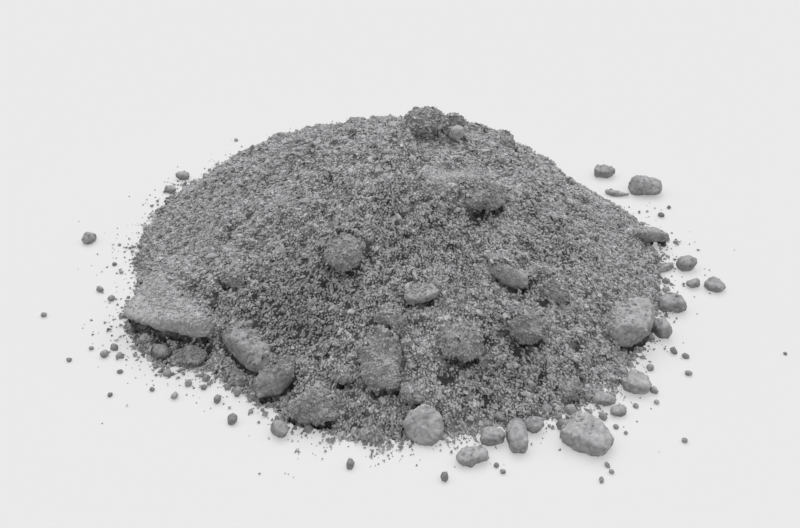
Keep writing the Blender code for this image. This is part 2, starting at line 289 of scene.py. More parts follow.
def add_up(tree, start, parts):
    """The sum of a start value and weighted sockets."""
    total = start
    for socket, weight in parts:
        step = add_node(tree, "ShaderNodeMath", operation="MULTIPLY_ADD")
        tree.links.new(socket, step.inputs[0])
        step.inputs[1].default_value = weight
        if isinstance(total, bpy.types.NodeSocket):
            tree.links.new(total, step.inputs[2])
        else:
            step.inputs[2].default_value = total
        total = step.outputs["Value"]
    return total


def tinted(grey, tint):
    return (grey * tint[0], grey * tint[1], grey * tint[2], 1)


def mineral_textures(tree):
    """The textures of a mineral, from broad patches to fine grains."""
    place = add_node(tree, "ShaderNodeTexCoord").outputs["Object"]

    def texture(kind, scale, **more):
        return add_node(tree, kind, {"Vector": place, "Scale": scale, **more}).outputs

    broad = texture("ShaderNodeTexNoise", BROAD_PATCHES, Detail=2)
    patch = texture("ShaderNodeTexNoise", SMALL_PATCHES, Detail=3)
    speck = texture("ShaderNodeTexVoronoi", SPECKS)
    fine = texture("ShaderNodeTexNoise", FINE_GRAINS, Detail=2)
    return broad, patch, speck, fine


def mineral(name, dark, light, grain=0.0, dust=0.0, tone=0.0, bump=0.6, shift=0.0):
    """Matt grey mineral, from broad patches down to specks and fine bumps.

    dark and light are the ends of its grey, and shift moves its usual grey from halfway between
    them. grain says how strongly its 1 mm specks differ, dust how much lighter its upward faces
    are, and tone how much each grain's own shade counts.
    """
    material = bpy.data.materials.new(name)
    material.use_nodes = True
    tree = material.node_tree
    shader = tree.nodes["Principled BSDF"]
    shader.inputs["Roughness"].default_value = ROUGHNESS
    shader.inputs["Specular IOR Level"].default_value = GLOSS
    broad, patch, speck, fine = mineral_textures(tree)
    facing = add_node(tree, "ShaderNodeNewGeometry").outputs["Normal"]
    upward = add_node(tree, "ShaderNodeSeparateXYZ", {"Vector": facing}).outputs["Z"]
    own = add_node(tree, "ShaderNodeAttribute", attribute_name="tone").outputs["Fac"]
    parts = [
        (broad["Fac"], 0.3),
        (patch["Fac"], 0.4),
        (speck["Color"], grain),
        (fine["Fac"], 0.4),
        (upward, dust),
        (own, tone),
    ]
    middle = 0.5 + shift - 0.5 * sum(weight for _, weight in parts)
    grey = add_node(tree, "ShaderNodeMix", {"Factor": add_up(tree, middle, parts)}, data_type="RGBA")
    grey.inputs[6].default_value = tinted(dark, DARK_TINT)
    grey.inputs[7].default_value = tinted(light, LIGHT_TINT)
    tree.links.new(grey.outputs[2], shader.inputs["Base Color"])
    height = add_up(tree, 0, [(speck["Distance"], -0.5), (fine["Fac"], 0.7)])
    relief = add_node(
        tree, "ShaderNodeBump", {"Height": height, "Strength": bump, "Distance": BUMP_HEIGHT})
    tree.links.new(relief.outputs["Normal"], shader.inputs["Normal"])
    return material


# Lumps

# How long a large lump is at least, how finely small and large ones are meshed, and how far each
# is worn smooth
LARGE_LUMP = 15 * MM
SMALL_VOXEL = 0.55 * MM
LARGE_VOXEL = 0.65 * MM
SMALL_SMOOTHING = 4
LARGE_SMOOTHING = 9

# The relief of stones and of caked clods: texture and height
STONE_RELIEF = [("knobs", 1.4 * MM), ("wear", 1.2 * MM), ("grain", 0.6 * MM)]
CLOD_RELIEF = [("knobs", 4.0 * MM), ("wear", 1.8 * MM), ("grain", 1.0 * MM)]

# Stones that are caked and grainy as clods are, and clods that are hard and clean as stones are
GRAINY = ["shelf_stone", "ridge_stone", "overhang_sliver", "leaning_block", "peaked_stone"]
STONY = ["right_rim_clod", "front_rim_clod"]

# How thickly a lump is coated with loose grains: above 1 few places on its top stay bare
COATS = {
    "left_slab": 3.0, "egg_stone": 0.9, "crevice_block": 1.5, "peaked_stone": 1.2,
    "leaning_block": 2.0, "round_stone": 0.15, "finger_stone": 2.5, "wedge_stone": 1.8,
    "right_boulder": 0.8, "crest_chip": 0.3, "back_slope_stone": 0.8,
}
CLOD_COAT = 2.0
THIN_COAT = 0.12

# From which upward part of the surface's normal a coat begins, over how much more of it the coat
# becomes full, what share of a full coat is usual, and over how short a stretch that changes
CLOD_COAT_EDGE = -0.8
STONE_COAT_EDGE = -0.1
COAT_FADE = 0.8
COAT_USUAL = 0.7
COAT_STRETCH = 3 * MM

# What share of its coat a stone keeps on its downhill side
DOWNHILL_COAT = 0.25

# How much lighter or darker than the others a lump is: partly its own shade and partly painted light,
# with the stones round the rim painted lighter and some set in the heap darker for the light that
# reaches them
LUMP_TONES_AND_PAINTED_LIGHT = {
    "front_stone": 0.3, "round_stone": 0.3, "right_boulder": 0.25, "right_rim_clod": 0.2,
    "egg_stone": -0.25, "crevice_block": -0.2, "leaning_block": 0.15, "wedge_stone": 0.1,
    "crest_chip": 0.5, "crest_clod": 0.2, "shoulder_clod": 0.3, "front_pebble": 0.1,
    "left_slab": 0.6, "overhang_clod": 0.05, "finger_stone": 0.15,
}


def middle_and_half(node):
    """The middle of a lump's box, and half of its length as seen from above."""
    low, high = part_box(node)
    return (low + high) / 2, (high - low).xy.length / 2


def node_of(lump):
    return lump.name.removeprefix("dusty_")


def is_large(node):
    low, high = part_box(node)
    return max(high - low) > LARGE_LUMP


def is_clod(node):
    """Whether a lump is caked fines, grainy all over, and not a stone."""
    return node in GRAINY or ("clod" in node and node not in STONY)


def make_lump(node):
    """A lump at its real size, worn smooth where it is a stone and lumpy where it is a caked clod."""
    lump = merged_copy(node, "dusty_" + node)
    voxel, smoothing = SMALL_VOXEL, SMALL_SMOOTHING
    if is_large(node):
        voxel, smoothing = LARGE_VOXEL, LARGE_SMOOTHING
    apply_modifier(lump, "REMESH", mode="VOXEL", voxel_size=voxel)
    apply_modifier(lump, "SMOOTH", factor=0.5, iterations=smoothing)
    for texture, height in CLOD_RELIEF if is_clod(node) else STONE_RELIEF:
        roughen(lump, TEXTURES[texture], height)
    lift_to_floor(lump)
    # Partly the lump's own shade, partly painted light
    tone = 0.5 + LUMP_TONES_AND_PAINTED_LIGHT.get(node, 0)
    mark(lump, "tone", lambda vertex: tone)
    return lump


def coat_host(lumps):
    """Copies of the lumps as one mesh that says how thickly each place is coated with grains."""
    copies = []
    for lump in lumps:
        node = node_of(lump)
        coat = COATS.get(node, CLOD_COAT if is_clod(node) else THIN_COAT)
        edge = CLOD_COAT_EDGE if is_clod(node) else STONE_COAT_EDGE
        middle, half = middle_and_half(node)
        copy = link("coated_" + node, lump.data.copy())

        def share(vertex):
            uphill = (middle.xy - vertex.co.xy).dot(middle.xy.normalized()) / half
            patchy = COAT_USUAL + noise.noise(vertex.co / COAT_STRETCH)
            kept = 1 if is_clod(node) else DOWNHILL_COAT + smooth_step(-0.4, 0.6, uphill)
            return coat * patchy * kept * smooth_step(edge, edge + COAT_FADE, vertex.normal.z)

        mark(copy, "share", share)
        copies.append(copy)
    select_only(*copies)
    bpy.ops.object.join()
    return copies[0]


# The bed of fines

# How finely the bed is meshed, and how far it is smoothed
BED_VOXEL = 1.08 * MM
BED_SMOOTHING = 2

# How far round a lump the fines are fitted to it, how near they come, and how deep they go under it
LUMP_REACH = 6 * MM
SOCKET_FILL = 0.6 * MM
LUMP_CLEARANCE = 0.5 * MM
SINK_UNDER_LUMP = 0.9 * MM

# How deep inside a lump's surface the bed still holds grains
GRAIN_OVERLAP = 0.4 * SINK_UNDER_LUMP

# From which outward part of its surface's normal a lump's side counts as its downhill side
DOWNHILL = 0.2

# Small clods among the fines: how far apart, how large in millimetres, and how far from the lumps
SMALL_CLODS = {"spacing": 9 * MM, "sizes": (2, 6), "seed": 3}
CLOD_CLEARANCE = 3.5 * MM

# Texture, height and the part of it that lies below the plain surface
BED_RELIEF = [("knobs", 3.0 * MM, 0.7), ("grit", 2.2 * MM, 0.65), ("grain", 1.3 * MM, 0.6)]

# The narrow gap under the downhill side of a lump: how far out it reaches, how deep it is, what
# share of that depth is usual, and over how short a stretch that changes
GAP_REACH = 2.0 * MM
GAP_DEPTH = 6.0 * MM
GAP_USUAL = 0.6
GAP_CHANGE = 4 * MM

# Fine runs down the slopes: how many go round the heap, how long and how deep they are, and how far
# from the crest they begin and are at their full depth
RUNS_ROUND = 34
RUN_LENGTH = 7 * MM
RUN_DEPTH = 1.1 * MM
RUNS_BEGIN = 20 * MM
RUNS_FULL = 60 * MM

# How far the foot wanders in and out, over how short a stretch, and how high up this is felt
FOOT_WANDER = 2.0 * MM
FOOT_STRETCH = 7 * MM
FOOT_HEIGHT = 7 * MM

# Up to what height the underside is taken off while the slopes are shaped
BASE_HEIGHT = 0.5 * MM

# How thickly the fines have run down over the uphill side of each lump, in millimetres, and how
# far from its middle they reach, in halves of its length
BLANKETS = {
    "left_slab": 1.2, "egg_stone": 0.6, "crevice_block": 1.0, "peaked_stone": 0.8,
    "overhang_clod": 2.0, "overhang_sliver": 0.8, "leaning_block": 1.5, "shelf_stone": 2.0,
    "finger_stone": 3.0, "ridge_stone": 1.5, "wedge_stone": 1.8, "middle_clod": 1.0,
    "right_clod": 1.0, "broad_clod": 1.0, "right_boulder": 1.0, "back_slope_stone": 1.5,
}
BLANKET_REACH = 1.5

# How far from a clod the fines are caked over it, up to which lean of its surface, and how
# unevenly they end
CAKE_REACH = 3 * MM
CAKE_EDGE = 0.45
CAKE_CHANGE = 0.5
CAKE_STRETCH = 4 * MM

# Light powdery places with few loose grains, in millimetres: place and radius; then how much lighter
# they are, partly the powder's own paler grey and partly painted light where light falls on the flat
# shelf, and how much smoother they are
POWDERY = [(19, -20, 11), (31, -22, 8), (57, -53, 7), (66, -62, 6)]
POWDER_AND_PAINTED_LIGHT_TONE = 0.35
POWDER_SMOOTHS = 0.75

# Places of the near slope painted darker, as painted shade where less light falls on it, in
# millimetres: place, radius and how much darker
NEAR_SLOPE_SHADE = [
    (0, -48, 38, 0.3),
    (-5, -100, 42, 0.1),
    (42, -92, 34, 0.2),
    (-38, -68, 34, 0.45),
    (60, -40, 30, 0.2),
]

# How much the fines' shade changes from place to place, and over how short a stretch
CLUSTER_TONE = 0.4
CLUSTER_STRETCH = 4 * MM

# Bare dark spots between the grains, where the bed's painted shade shows: how rare, how sharp, how
# bare and how wide they are
BARE_FROM = 0.22
BARE_EDGE = 0.15
BARE_LOSS = 0.8
BARE_STRETCH = 2.2 * MM

# Pits in the fines, mostly on the downhill side of a lump, in millimetres: place, radius and depth
PITS = [
    (-103, -57, 4.0, 1.5),
    (-91, -67, 5.0, 2.5),
    (-80, -71, 5.0, 3.0),
    (-72, -73, 5.0, 3.5),
    (-70, -58, 4.0, 2.5),
    (-78, -51, 4.0, 2.0),
    (-61, -77, 4.5, 2.5),
    (-54, -82, 4.5, 2.0),
    (-39, -95, 4.5, 3.5),
    (-22, -110, 3.5, 1.2),
    (-19, -53, 5.0, 3.0),
    (-26, -49, 4.0, 2.0),
    (10, -70, 5.0, 3.0),
    (0, -86, 4.5, 3.5),
    (47, -84, 5.0, 3.0),
    (19, -97, 5.0, 3.5),
    (32, -36, 6.0, 3.0),
    (21, 19, 4.5, 2.0),
    (57, -66, 3.5, 2.0),
    (55, -58, 3.0, 2.0),
    (54, -92, 3.5, 2.0),
    (68, -89, 4.0, 2.5),
    (68, -78, 4.0, 2.5),
    (33, -103, 4.0, 2.0),
    (-27, -16, 3.5, 2.0),
    (-8, -18, 3.0, 1.5),
    (39, 24, 3.5, 1.5),
    (53, -18, 3.5, 2.0),
    (49, 5, 3.0, 1.5),
    (21, -52, 3.0, 1.5),
]

# Where the crest and the right shoulder sag a little, in millimetres: place, radius and depth
SAGS = [(76, 56, 34, 2.4), (-6, 46, 30, 3.0)]

# How deep a pit is in millimetres that holds no loose grains, and how much darker hollows are
# painted, as painted shade in the pits and in the gaps under the lumps
DEEP_PIT = 3.5
HOLLOW_PAINTED_SHADE = 0.4


def in_the_mound(node, ground):
    """Whether a lump is set in the mound rather than lying on the surface beside it."""
    low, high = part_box(node)
    middle = (low + high) / 2
    hit = ground.ray_cast(Vector((middle.x, middle.y, high.z + 1)), -UP)[0]
    return hit is not None


def clearance(point, stones):
    """How far a point is outside the nearest lump, negative inside one; at most the lumps' reach."""
    near, normal, _, _ = stones.find_nearest(point, LUMP_REACH)
    return LUMP_REACH if near is None else (point - near).dot(normal)


def downhill_side(point, stones):
    """Whether a point of the fines lies by a lump, on its downhill side."""
    near, normal, _, _ = stones.find_nearest(point, GAP_REACH)
    return near is not None and normal.xy.dot(point.xy) > DOWNHILL * point.xy.length


def caked_over(point, cakes):
    """Whether the fines are caked over a clod at a place: on its uphill side and its top."""
    near, normal, _, _ = cakes.find_nearest(point, CAKE_REACH)
    if near is None:
        return False
    edge = CAKE_EDGE + CAKE_CHANGE * noise.noise(point / CAKE_STRETCH)
    return normal.xy.dot(point.xy.normalized()) < edge


def away_from(point, x, y, radius):
    """How far a point is from a place given in millimetres, in times that place's radius."""
    return math.hypot(point.x - x * MM, point.y - y * MM) / (radius * MM)


def powder(point):
    """How powdery a place is, from 0 to 1."""
    most = 0
    for x, y, radius in POWDERY:
        most = max(most, 1 - smooth_step(0.4, 1.1, away_from(point, x, y, radius)))
    return most


def place_tone(point):
    """How light the fines are at a place: 0.5 is their usual shade, with painted shade on the near
    slope and painted light on the powdery shelf.
    """
    # Powdery places are lighter, partly as painted light on the flat shelf
    tone = 0.5 + POWDER_AND_PAINTED_LIGHT_TONE * powder(point) + CLUSTER_TONE * noise.noise(point / CLUSTER_STRETCH)
    # The near slope is painted darker, as shade
    for x, y, radius, darker in NEAR_SLOPE_SHADE:
        tone -= darker * (1 - smooth_step(0.2, 1, away_from(point, x, y, radius)))
    return max(tone, 0)


def grain_share(point, stones):
    """How many of the grains that a place could hold lie there."""
    margin = GAP_REACH if downhill_side(point, stones) else -GRAIN_OVERLAP
    if clearance(point, stones) < margin:
        return 0
    bare = smooth_step(BARE_FROM, BARE_FROM + BARE_EDGE, -noise.noise(point / BARE_STRETCH))
    return (1 - BARE_LOSS * bare) * (1 - powder(point))


def make_bed(clods, lumps):
    """The fines below the loose grains, fitted round the lumps that are set in them."""
    bed = merged_copy(MOUND, "fines_bed")
    ground = surface_tree([bed])
    set_in = [lump for lump in lumps if in_the_mound(node_of(lump), ground)]
    stones = surface_tree(set_in)
    cakes = surface_tree([lump for lump in set_in if is_clod(node_of(lump))])
    merge_in(bed, clods, set_in, stones)
    keep_outer_skin(bed)
    remove_base(bed)
    lay_blankets(bed)
    free = tuck_under(bed, stones, cakes, LUMP_CLEARANCE + SOCKET_FILL)
    raise_relief(bed, free)
    draw_runs(bed, free)
    wander_foot(bed)
    dig(bed, SAGS)
    hollows = [min(depth / (DEEP_PIT * MM), 1) for depth in dig(bed, PITS)]
    dig_gaps(bed, stones, cakes, hollows)
    tuck_under(bed, stones, cakes, LUMP_CLEARANCE)
    lift_to_floor(bed)
    mark(bed, "share", lambda vertex: grain_share(vertex.co, stones) * (1 - hollows[vertex.index]))
    mark(bed, "powder", lambda vertex: powder(vertex.co))
    # Pits and the gaps under the lumps are painted darker, as shade
    mark(bed, "tone", lambda vertex: place_tone(vertex.co) - HOLLOW_PAINTED_SHADE * hollows[vertex.index])
    return bed


def merge_in(bed, clods, set_in, stones):
    """Makes one skin of the mound, small clods on it and the slightly swollen lumps set in it."""
    fillers = [link("filler_" + lump.name, lump.data.copy()) for lump in set_in]
    mark(bed, "share", lambda vertex: clearance(vertex.co, stones) > CLOD_CLEARANCE)
    small_clods = sow("small_clods", bed, clods, None, **SMALL_CLODS)
    for filler in fillers:
        apply_modifier(filler, "DISPLACE", strength=SOCKET_FILL, mid_level=0)
    select_only(bed, small_clods, *fillers)
    bpy.ops.object.join()
    apply_modifier(bed, "REMESH", mode="VOXEL", voxel_size=BED_VOXEL)
    apply_modifier(bed, "SMOOTH", factor=0.5, iterations=BED_SMOOTHING)


def keep_outer_skin(bed):
    """Deletes the closed voids inside the bed and keeps the skin that its highest point is on."""
    top = max(bed.data.vertices, key=lambda vertex: vertex.co.z).index
    select_only(bed)
    bpy.ops.object.mode_set(mode="EDIT")
    bpy.ops.mesh.select_all(action="DESELECT")
    bpy.ops.object.mode_set(mode="OBJECT")
    bed.data.vertices[top].select = True
    bpy.ops.object.mode_set(mode="EDIT")
    bpy.ops.mesh.select_linked()
    bpy.ops.mesh.select_all(action="INVERT")
    bpy.ops.mesh.delete(type="VERT")
    bpy.ops.object.mode_set(mode="OBJECT")


def remove_base(bed):
    """Takes off the flat underside, so that only the slopes are shaped."""
    select_only(bed)
    bpy.ops.object.mode_set(mode="EDIT")
    bpy.ops.mesh.select_all(action="DESELECT")
    bpy.ops.object.mode_set(mode="OBJECT")
    for face in bed.data.polygons:
        face.select = face.center.z < BASE_HEIGHT and face.normal.z < -0.5
    bpy.ops.object.mode_set(mode="EDIT")
    bpy.ops.mesh.delete(type="FACE")
    bpy.ops.object.mode_set(mode="OBJECT")


def close_base(bed):
    """Closes the underside again with one flat face."""
    select_only(bed)
    bpy.ops.object.mode_set(mode="EDIT")
    bpy.ops.mesh.select_all(action="DESELECT")
    bpy.ops.mesh.select_non_manifold(extend=False, use_wire=False, use_multi_face=False)
    bpy.ops.mesh.edge_face_add()
    bpy.ops.object.mode_set(mode="OBJECT")


def lay_blankets(bed):
    """Lets the fines run down over the uphill side of the lumps that are set in them.

    They lie thickest uphill of a lump's middle, and thin out downhill and with distance from it.
    """
    for node, thickness in BLANKETS.items():
        middle, half = middle_and_half(node)
        uphill = -middle.xy.normalized()
        for vertex in bed.data.vertices:
            away = vertex.co.xy - middle.xy
            if away.length > BLANKET_REACH * half:
                continue
            rise = away.dot(uphill) / half
            cover = smooth_step(-0.5, 0.6, rise)
            cover *= 1 - smooth_step(0.7, BLANKET_REACH, away.length / half)
            vertex.co.z += thickness * MM * cover


def tuck_under(bed, stones, cakes, margin):
    """Moves the fines nearer to a lump than the margin to just under its surface; returns the rest.

    Where they are caked over a clod they stay.
    """
    free = []
    for vertex in bed.data.vertices:
        near, normal, _, _ = stones.find_nearest(vertex.co, LUMP_REACH)
        outside = near is None or (vertex.co - near).dot(normal) > margin
        if outside or caked_over(vertex.co, cakes):
            free.append(vertex.index)
        else:
            vertex.co = near - normal * SINK_UNDER_LUMP
    return free


def raise_relief(bed, free):
    """Gives the open fines their bumps, weaker where they are powdery."""
    open_fines = bed.vertex_groups.new(name="open")
    for index in free:
        rough = 1 - POWDER_SMOOTHS * powder(bed.data.vertices[index].co)
        open_fines.add([index], rough, "REPLACE")
    for texture, height, below in BED_RELIEF:
        roughen(bed, TEXTURES[texture], height, middle=below, group="open")


def draw_runs(bed, free):
    """Draws fine runs down the slopes, where grains have slid."""
    for index in free:
        vertex = bed.data.vertices[index]
        reach = vertex.co.xy.length
        outward = vertex.co.xy / max(reach, MM)
        place = Vector((outward.x * RUNS_ROUND, outward.y * RUNS_ROUND, reach / RUN_LENGTH))
        vertex.co.z += RUN_DEPTH * noise.noise(place) * smooth_step(RUNS_BEGIN, RUNS_FULL, reach)


def wander_foot(bed):
    """Lets the foot's edge wander in and out, as where powder has run out unevenly."""
    for vertex in bed.data.vertices:
        low = 1 - smooth_step(0, FOOT_HEIGHT, vertex.co.z)
        if low > 0:
            place = Vector((vertex.co.x, vertex.co.y, 0)) / FOOT_STRETCH
            out = FOOT_WANDER * low * noise.fractal(place, 0.6, 2.0, 3)
            vertex.co.xy += vertex.co.xy.normalized() * out


def dig(bed, places):
    """Lowers the bed at round places, and returns by how much each vertex went down."""
    lowered = [0] * len(bed.data.vertices)
    for x, y, radius, depth in places:
        centre = Vector((x * MM, y * MM))
        for vertex in bed.data.vertices:
            away = (vertex.co.xy - centre).length / (radius * MM)
            if away < 1:
                lowered[vertex.index] += depth * MM * (1 - away * away) ** 2
    for vertex in bed.data.vertices:
        vertex.co.z -= lowered[vertex.index]
    return lowered


def dig_gaps(bed, stones, cakes, hollows):
    """Opens the narrow gap under the downhill side of each lump, here deep and there filled in."""
    for vertex in bed.data.vertices:
        if downhill_side(vertex.co, stones) and not caked_over(vertex.co, cakes):
            away = max(clearance(vertex.co, stones), 0)
            share = max(GAP_USUAL + noise.noise(vertex.co / GAP_CHANGE), 0)
            share *= 1 - smooth_step(0.5 * GAP_REACH, GAP_REACH, away)
            vertex.co.z -= GAP_DEPTH * share
            # The gap is marked as a hollow, which is painted darker as shade
            hollows[vertex.index] = max(hollows[vertex.index], min(share, 1))


# Grains, clods and crumbs

# Length, width and height of each kind of grain and of crumb, for one that is 1 mm across
GRAIN_SHAPES = [(1.5, 0.9, 0.7), (1.2, 1.1, 0.8), (1.8, 0.8, 0.65), (1.0, 1.1, 0.9), (1.4, 0.8, 1.0)]
CRUMB_SHAPES = [(1.2, 1.0, 0.8), (1.0, 1.1, 0.8), (1.3, 0.9, 0.75), (1.0, 1.0, 0.9), (1.1, 0.9, 1.0)]

# How much commoner small grains are than large ones, as a power
SMALL_GRAINS = 2.2

# How far a grain's shade may be from the usual one, either way
GRAIN_TONES = 0.2

# How far a grain's length may stray from straight down the slope, from least to most
STRAY = [(-0.8, -0.8, -1.2), (0.8, 0.8, 0.4)]

# How many points are tried for each one that fits, so that a layer is full
POINTS_TRIED = 2.5

# Least distance, sizes in millimetres and seed of the layers of grains
SAND = {"spacing": 0.82 * MM, "sizes": (0.85, 1.7), "seed": 7}
LARGE_GRAINS = {"spacing": 4.5 * MM, "sizes": (1.8, 3.2), "seed": 17}
POWDER = {"spacing": 0.6 * MM, "sizes": (0.6, 1.0), "seed": 37}
COAT = {"spacing": 0.86 * MM, "sizes": (0.8, 1.6), "seed": 27}

# Into how many equal sectors the sand is divided, so that no piece of it grows too large
SECTORS = 4

# What has spilled round the foot: how many grains, how far out and how large, in millimetres
FOOT_DUST = {"count": 1700, "spread": 4.5, "sizes": (0.4, 1.0)}
FOOT_GRIT = {"count": 800, "spread": 2.5, "sizes": (1.0, 2.0)}
FOOT_CRUMBS = {"count": 90, "spread": 2.0, "sizes": (1.3, 3.0)}
SPILL_SEED = 5
SPILL_TURN_SEED = 11

# Round which bearings this spill lies and how far to either side, how far inside the foot's edge it
# begins in millimetres, and its shade
SPILL_BEARINGS = [-165, -140, -120, -95, -75, -60, -35, -15, 0, 100, 140, 170]
SPILL_WIDTH = 20
SPILL_INSIDE = 2
SPILL_TONE = 0.0

# The height that counts as the foot's edge, and the step in degrees in which its reach is kept
EDGE_HEIGHT = 0.3 * MM
OUTLINE_STEP = 3

# How high the middle of a grain on the floor is, as a share of its size
RESTING_HEIGHT = 0.33

# Crumbs that lie by themselves on the floor: place and size in millimetres
CRUMBS = [
    (-118, -67, 2), (-109, -67, 3), (-112, -71, 3.5), (-106, -72, 3), (-125, -74, 2), (-104, -81, 2),
    (-105, -94, 2), (-90, -91, 2), (-91, -78, 2), (-86, -82, 3), (-81, -95, 3), (-77, -88, 3),
    (-71, -90, 2.5), (-65, -97, 3.5), (-58, -93, 3.5), (-53, -97, 2), (-52, -103, 2), (-58, -108, 4),
    (-48, -102, 1.5), (-62, -90, 2.5), (-41, -106, 2), (-15, -130, 3.5), (17, -136, 3.5),
    (97, -79, 3), (108, -69, 3), (112, -72, 2.5), (111, -82, 2.5), (96, -98, 2), (88, -100, 2),
    (96, -92, 3), (75, -106, 3.5), (79, -111, 2), (82, -114, 1.5), (73, -130, 2), (74, -133, 2),
    (70, -137, 2), (102, -118, 2), (60, -111, 4.5), (71, -103, 2), (35, -130, 2), (37, -133, 2),
    (-82, 101, 2), (122, 29, 3), (127, 36, 2), (113, -2, 2), (114, -23, 3), (90, -77, 2.5),
    (-123, -29, 3), (-117, -35, 3), (-121, -10, 2), (-142, -46, 2.5), (151, -70, 1.5),
    (38, -107, 4), (43, -105, 3), (55, -103, 4.5), (64, -103, 4), (68, -107, 3), (59, -106, 3),
    (48, -104, 3), (33, -110, 3), (75, -97, 4), (80, -95, 3), (86, -88, 4), (71, -96, 3),
]


def new_collection(name):
    made = bpy.data.collections.new(name)
    bpy.context.scene.collection.children.link(made)
    return made


def shape_kind(name, number, shape, jitter, kinds):
    """Gives the new primitive the shape of one kind of grain, and puts it with its like."""
    kind = bpy.context.object
    kind.name = f"{name}_{number}"
    bpy.ops.object.mode_set(mode="EDIT")
    bpy.ops.mesh.select_all(action="SELECT")
    bpy.ops.transform.resize(value=shape)
    bpy.ops.transform.vertex_random(offset=jitter * MM, seed=number)
    bpy.ops.object.mode_set(mode="OBJECT")
    for collection in kind.users_collection:
        collection.objects.unlink(kind)
    kinds.objects.link(kind)


def stone_kinds(name, shapes, fineness, jitter):
    """Small angular stones, about 1 mm across, to be strewn."""
    kinds = new_collection(name)
    for number, shape in enumerate(shapes):
        bpy.ops.object.select_all(action="DESELECT")
        bpy.ops.mesh.primitive_ico_sphere_add(subdivisions=fineness, radius=0.5 * MM)
        shape_kind(name, number, shape, jitter, kinds)
    return kinds


def chip_kinds(name):
    """Broken chips of sand, about 1 mm across, with three or four sides and a sharp end."""
    kinds = new_collection(name)
    for number, shape in enumerate(GRAIN_SHAPES):
        bpy.ops.object.select_all(action="DESELECT")
        bpy.ops.mesh.primitive_cone_add(
            vertices=3 + number % 2, radius1=0.6 * MM, radius2=0, depth=1.0 * MM)
        shape_kind(name, number, shape, 0.12, kinds)
    return kinds


def sand_kinds(name):
    """Grains of sand, about 1 mm across, with six or eight faces, uneven enough to look broken."""
    kinds = new_collection(name)
    for number, shape in enumerate(GRAIN_SHAPES):
        bpy.ops.object.select_all(action="DESELECT")
        bpy.ops.mesh.primitive_uv_sphere_add(
            segments=3 + number % 2, ring_count=2, radius=0.62 * MM)
        shape_kind(name, number, shape, 0.2, kinds)
    return kinds


def stored(tree, name, kind="FLOAT"):
    """The values that the points carry under a name."""
    node = add_node(tree, "GeometryNodeInputNamedAttribute", {"Name": name}, data_type=kind)
    return node.outputs["Attribute"]


def store(tree, geometry, name, value, domain):
    """The geometry with a value stored under a name for each of its points or instances."""
    node = add_node(tree, "GeometryNodeStoreNamedAttribute", {
        "Geometry": geometry, "Name": name}, domain=domain, data_type="FLOAT")
    tree.links.new(value, node.inputs["Value"])
    return node.outputs[0]


def any_kind(tree, seed):
    """The number of a kind of grain, picked at random."""
    pick = add_node(tree, "FunctionNodeRandomValue", {"Seed": seed}, data_type="INT")
    pick.inputs[4].default_value = 0
    pick.inputs[5].default_value = len(GRAIN_SHAPES) - 1
    return pick.outputs[2]


def any_tone(tree, seed):
    """A grain's shade, at random round that of the place it lies on."""
    chance = add_node(tree, "FunctionNodeRandomValue", {"Seed": seed}, data_type="FLOAT")
    chance.inputs[2].default_value = -GRAIN_TONES
    chance.inputs[3].default_value = GRAIN_TONES
    tone = add_node(tree, "ShaderNodeMath", operation="ADD")
    tree.links.new(stored(tree, "tone"), tone.inputs[0])
    tree.links.new(chance.outputs[1], tone.inputs[1])
    return tone.outputs[0]


def any_size(tree, sizes, seed):
    """A grain's size, at random between two, with small ones the commonest."""
    chance = add_node(tree, "FunctionNodeRandomValue", {"Seed": seed}, data_type="FLOAT")
    biased = add_node(tree, "ShaderNodeMath", operation="POWER")
    tree.links.new(chance.outputs[1], biased.inputs[0])
    biased.inputs[1].default_value = SMALL_GRAINS
    size = add_node(tree, "ShaderNodeMapRange", {
        "Value": biased.outputs[0], "To Min": sizes[0], "To Max": sizes[1]})
    return size.outputs["Result"]


def downhill_turn(tree, seed):
    """A random turn that lays a grain's length roughly down the slope."""
    any_turn = add_node(tree, "FunctionNodeRandomValue", {"Seed": seed}, data_type="FLOAT_VECTOR")
    any_turn.inputs[1].default_value = (math.tau, math.tau, math.tau)
    stray = add_node(tree, "FunctionNodeRandomValue", {"Seed": seed + 50}, data_type="FLOAT_VECTOR")
    stray.inputs[0].default_value = STRAY[0]
    stray.inputs[1].default_value = STRAY[1]
    place = add_node(tree, "GeometryNodeInputPosition")
    level = add_node(tree, "ShaderNodeVectorMath", operation="MULTIPLY")
    tree.links.new(place.outputs[0], level.inputs[0])
    level.inputs[1].default_value = (1, 1, 0)
    outward = add_node(tree, "ShaderNodeVectorMath", operation="NORMALIZE")
    tree.links.new(level.outputs[0], outward.inputs[0])
    downhill = add_node(tree, "ShaderNodeVectorMath", operation="ADD")
    tree.links.new(outward.outputs[0], downhill.inputs[0])
    tree.links.new(stray.outputs[0], downhill.inputs[1])
    turn = add_node(tree, "FunctionNodeAlignRotationToVector", axis="X")
    tree.links.new(any_turn.outputs[0], turn.inputs["Rotation"])
    tree.links.new(downhill.outputs[0], turn.inputs["Vector"])
    return turn.outputs[0]


